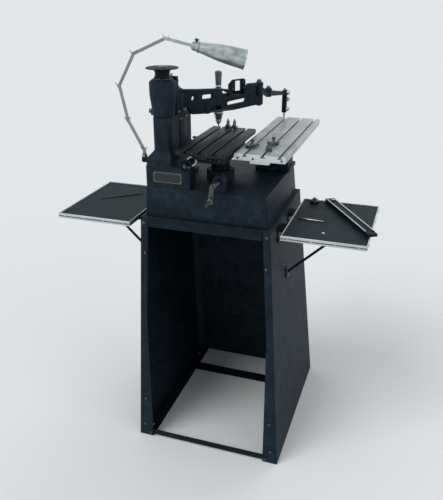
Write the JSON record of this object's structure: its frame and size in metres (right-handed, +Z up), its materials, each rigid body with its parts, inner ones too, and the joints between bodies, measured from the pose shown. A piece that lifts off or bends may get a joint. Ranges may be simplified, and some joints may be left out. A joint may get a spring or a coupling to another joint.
{
  "type": "pantograph engraving machine",
  "caption": "Bench pantograph engraving machine on an open-fronted sheet stand, with fold-out side shelves, slotted tables and a jointed lamp.",
  "frame": {"origin": "centre of the four floor bolt holes, at floor level", "axes": "+X to the right of someone facing the machine, +Y to its back, +Z up"},
  "size_m": [1.0311, 0.7193, 1.4518],
  "materials": {
    "machine_paint": "satin dark blue-grey enamel",
    "stand_paint": "satin dark blue-grey enamel on sheet",
    "dark_paint": "dark satin enamel",
    "linoleum": "matt dark board",
    "alloy": "machined",
    "steel": "turned and ground",
    "lamp_metal": "satin",
    "shade_enamel": "pale enamel",
    "bulb_glass": "opal"
  },
  "bodies": {
    "stand": {"stand_side_left": "stand_paint", "stand_side_right": "stand_paint", "stand_back": "stand_paint", "stand_top": "stand_paint", "letter_slide": "dark_paint", "front_floor_bar": "dark_paint", "rear_floor_bar": "dark_paint", "shelf_left": "linoleum", "shelf_right": "linoleum", "shelf_edging": "alloy", "shelf_brackets": "dark_paint", "shelf_struts": "dark_paint", "stand_bolts": "steel", "machine_base": "machine_paint", "base_bolts": "steel", "column": "machine_paint", "badge_plate": "alloy", "copy_pedestal": "machine_paint", "crank_bearing": "machine_paint", "lamp_bracket": "dark_paint", "lift_screw": "steel"},
    "head_body": {"head": "machine_paint", "fulcrum_pin": "steel"},
    "lift_wheel": {"head_handwheel": "dark_paint"},
    "clamp_lever": {"head_clamp_lever": "steel"},
    "arm_body": {"main_arm": "machine_paint", "arm_pins": "steel"},
    "stylus_body": {"stylus_arm": "machine_paint", "stylus_block": "dark_paint", "stylus_knobs": "steel", "rear_pivot_cap": "steel", "stylus": "steel"},
    "rear_link_body": {"rear_link": "machine_paint", "ratio_block": "dark_paint"},
    "carrier": {"spindle_link": "machine_paint", "spindle_housing": "dark_paint"},
    "quill_body": {"quill": "steel"},
    "spindle_body": {"spindle": "steel", "cutter": "steel", "spindle_pulley": "alloy", "draw_knob": "alloy"},
    "knee_body": {"knee": "machine_paint"},
    "saddle_body": {"saddle": "machine_paint"},
    "table_body": {"work_table": "dark_paint", "work_clamps": "steel"},
    "table_wheel": {"table_handwheel": "steel"},
    "cross_wheel": {"cross_handwheel": "steel"},
    "crank_body": {"knee_crank": "steel"},
    "grip_body": {"crank_grip": "steel"},
    "copy_body": {"copy_table": "alloy", "copy_clamps": "steel"},
    "copy_lock": {"copy_lock_knob": "steel"},
    "lamp_foot": {"lamp_base": "steel"},
    "lamp_link_1": {"lamp_arm_1": "lamp_metal"},
    "lamp_link_2": {"lamp_arm_2": "lamp_metal"},
    "lamp_link_3": {"lamp_arm_3": "lamp_metal"},
    "lamp_link_4": {"lamp_arm_4": "lamp_metal"},
    "lamp_head": {"lamp_socket": "lamp_metal", "lamp_shade": "shade_enamel", "lamp_bulb": "bulb_glass"}
  },
  "joints": [
    {"name": "head_wheel_turn", "type": "hinge", "parent": "head_body", "child": "lift_wheel", "pos_m": [-0.15, -0.254, 1.326], "axis": [0, 0, 1], "range_deg": [0, 2880.5]},
    {"name": "head_lift", "type": "slide", "parent": "stand", "child": "head_body", "axis": [0, 0, 1], "range_m": [0, 0.04]},
    {"name": "head_clamp_turn", "type": "hinge", "parent": "head_body", "child": "clamp_lever", "pos_m": [-0.1893, -0.254, 1.228], "axis": [1, 0, 0], "range_deg": [-30, 60]},
    {"name": "arm_swing", "type": "hinge", "parent": "head_body", "child": "arm_body", "pos_m": [-0.132, -0.188, 1.24], "axis": [0, 0, 1], "range_deg": [-75, 5]},
    {"name": "elbow_fold", "type": "hinge", "parent": "arm_body", "child": "stylus_body", "pos_m": [0.06465, 0.07201, 1.24], "axis": [0, 0, 1], "range_deg": [-3, 78]},
    {"name": "rear_link_pivot", "type": "hinge", "parent": "stylus_body", "child": "rear_link_body", "pos_m": [0.07913, 0.14619, 1.245], "axis": [0, 0, 1], "range_deg": [-79, 4]},
    {"name": "spindle_link_pivot", "type": "hinge", "parent": "arm_body", "child": "carrier", "pos_m": [-0.06435, -0.09856, 1.214], "axis": [0, 0, 1], "range_deg": [-4, 79]},
    {"name": "quill_lift", "type": "slide", "parent": "carrier", "child": "quill_body", "axis": [0, 0, 1], "range_m": [0, 0.0025]},
    {"name": "spindle_spin", "type": "hinge", "parent": "quill_body", "child": "spindle_body", "pos_m": [-0.04987, -0.02438, 1.2], "axis": [0, 0, 1], "continuous": true},
    {"name": "knee_crank_turn", "type": "hinge", "parent": "stand", "child": "crank_body", "pos_m": [0.044, -0.365, 1.036], "axis": [0, 1, 0], "range_deg": [-1152.5, 0]},
    {"name": "knee_lift", "type": "slide", "parent": "stand", "child": "knee_body", "axis": [0, 0, 1], "range_m": [-0.016, 0]},
    {"name": "crank_grip_spin", "type": "hinge", "parent": "crank_body", "child": "grip_body", "pos_m": [0.0376, -0.365, 0.99045], "axis": [0, 1, 0], "continuous": true},
    {"name": "cross_wheel_turn", "type": "hinge", "parent": "knee_body", "child": "cross_wheel", "pos_m": [-0.112, -0.057, 1.0866], "axis": [1, 0, 0], "range_deg": [-1080.5, 1080.5]},
    {"name": "saddle_cross", "type": "slide", "parent": "knee_body", "child": "saddle_body", "axis": [1, 0, 0], "range_m": [-0.015, 0.015]},
    {"name": "table_wheel_turn", "type": "hinge", "parent": "saddle_body", "child": "table_wheel", "pos_m": [-0.036, -0.369, 1.0978], "axis": [0, 1, 0], "range_deg": [-3240.5, 2160.5]},
    {"name": "table_travel", "type": "slide", "parent": "saddle_body", "child": "table_body", "axis": [0, 1, 0], "range_m": [-0.045, 0.03]},
    {"name": "copy_table_travel", "type": "slide", "parent": "stand", "child": "copy_body", "axis": [0, 1, 0], "range_m": [-0.06, 0.06]},
    {"name": "copy_lock_turn", "type": "hinge", "parent": "stand", "child": "copy_lock", "pos_m": [0.142, -0.02356, 1.052], "axis": [0, 1, 0], "range_deg": [-40, 40]},
    {"name": "lamp_swivel", "type": "hinge", "parent": "stand", "child": "lamp_foot", "pos_m": [-0.231, -0.236, 1.098], "axis": [0, 0, 1], "range_deg": [-60, 80]},
    {"name": "lamp_hinge_1", "type": "hinge", "parent": "lamp_foot", "child": "lamp_link_1", "pos_m": [-0.231, -0.236, 1.098], "axis": [-0.342, 0.9397, 0], "range_deg": [-20, 13]},
    {"name": "lamp_hinge_2", "type": "hinge", "parent": "lamp_link_1", "child": "lamp_link_2", "pos_m": [-0.2746, -0.25187, 1.19442], "axis": [-0.342, 0.9397, 0], "range_deg": [-35, 11]},
    {"name": "lamp_hinge_3", "type": "hinge", "parent": "lamp_link_2", "child": "lamp_link_3", "pos_m": [-0.29379, -0.25885, 1.29945], "axis": [-0.342, 0.9397, 0], "range_deg": [-35, 23]},
    {"name": "lamp_hinge_4", "type": "hinge", "parent": "lamp_link_3", "child": "lamp_link_4", "pos_m": [-0.24736, -0.24195, 1.39436], "axis": [-0.342, 0.9397, 0], "range_deg": [-35, 23]},
    {"name": "lamp_hinge_5", "type": "hinge", "parent": "lamp_link_4", "child": "lamp_head", "pos_m": [-0.15565, -0.20857, 1.43822], "axis": [-0.342, 0.9397, 0], "range_deg": [-40, 25]}
  ],
  "couplings": [
    {"joint": "head_wheel_turn", "follows": "head_lift", "rad_per_m": 1256.6},
    {"joint": "rear_link_pivot", "follows": "elbow_fold", "ratio": -1},
    {"joint": "spindle_link_pivot", "follows": "elbow_fold", "ratio": 1},
    {"joint": "knee_crank_turn", "follows": "knee_lift", "rad_per_m": 1256.6},
    {"joint": "cross_wheel_turn", "follows": "saddle_cross", "rad_per_m": 1256.6},
    {"joint": "table_wheel_turn", "follows": "table_travel", "rad_per_m": 1256.6}
  ]
}
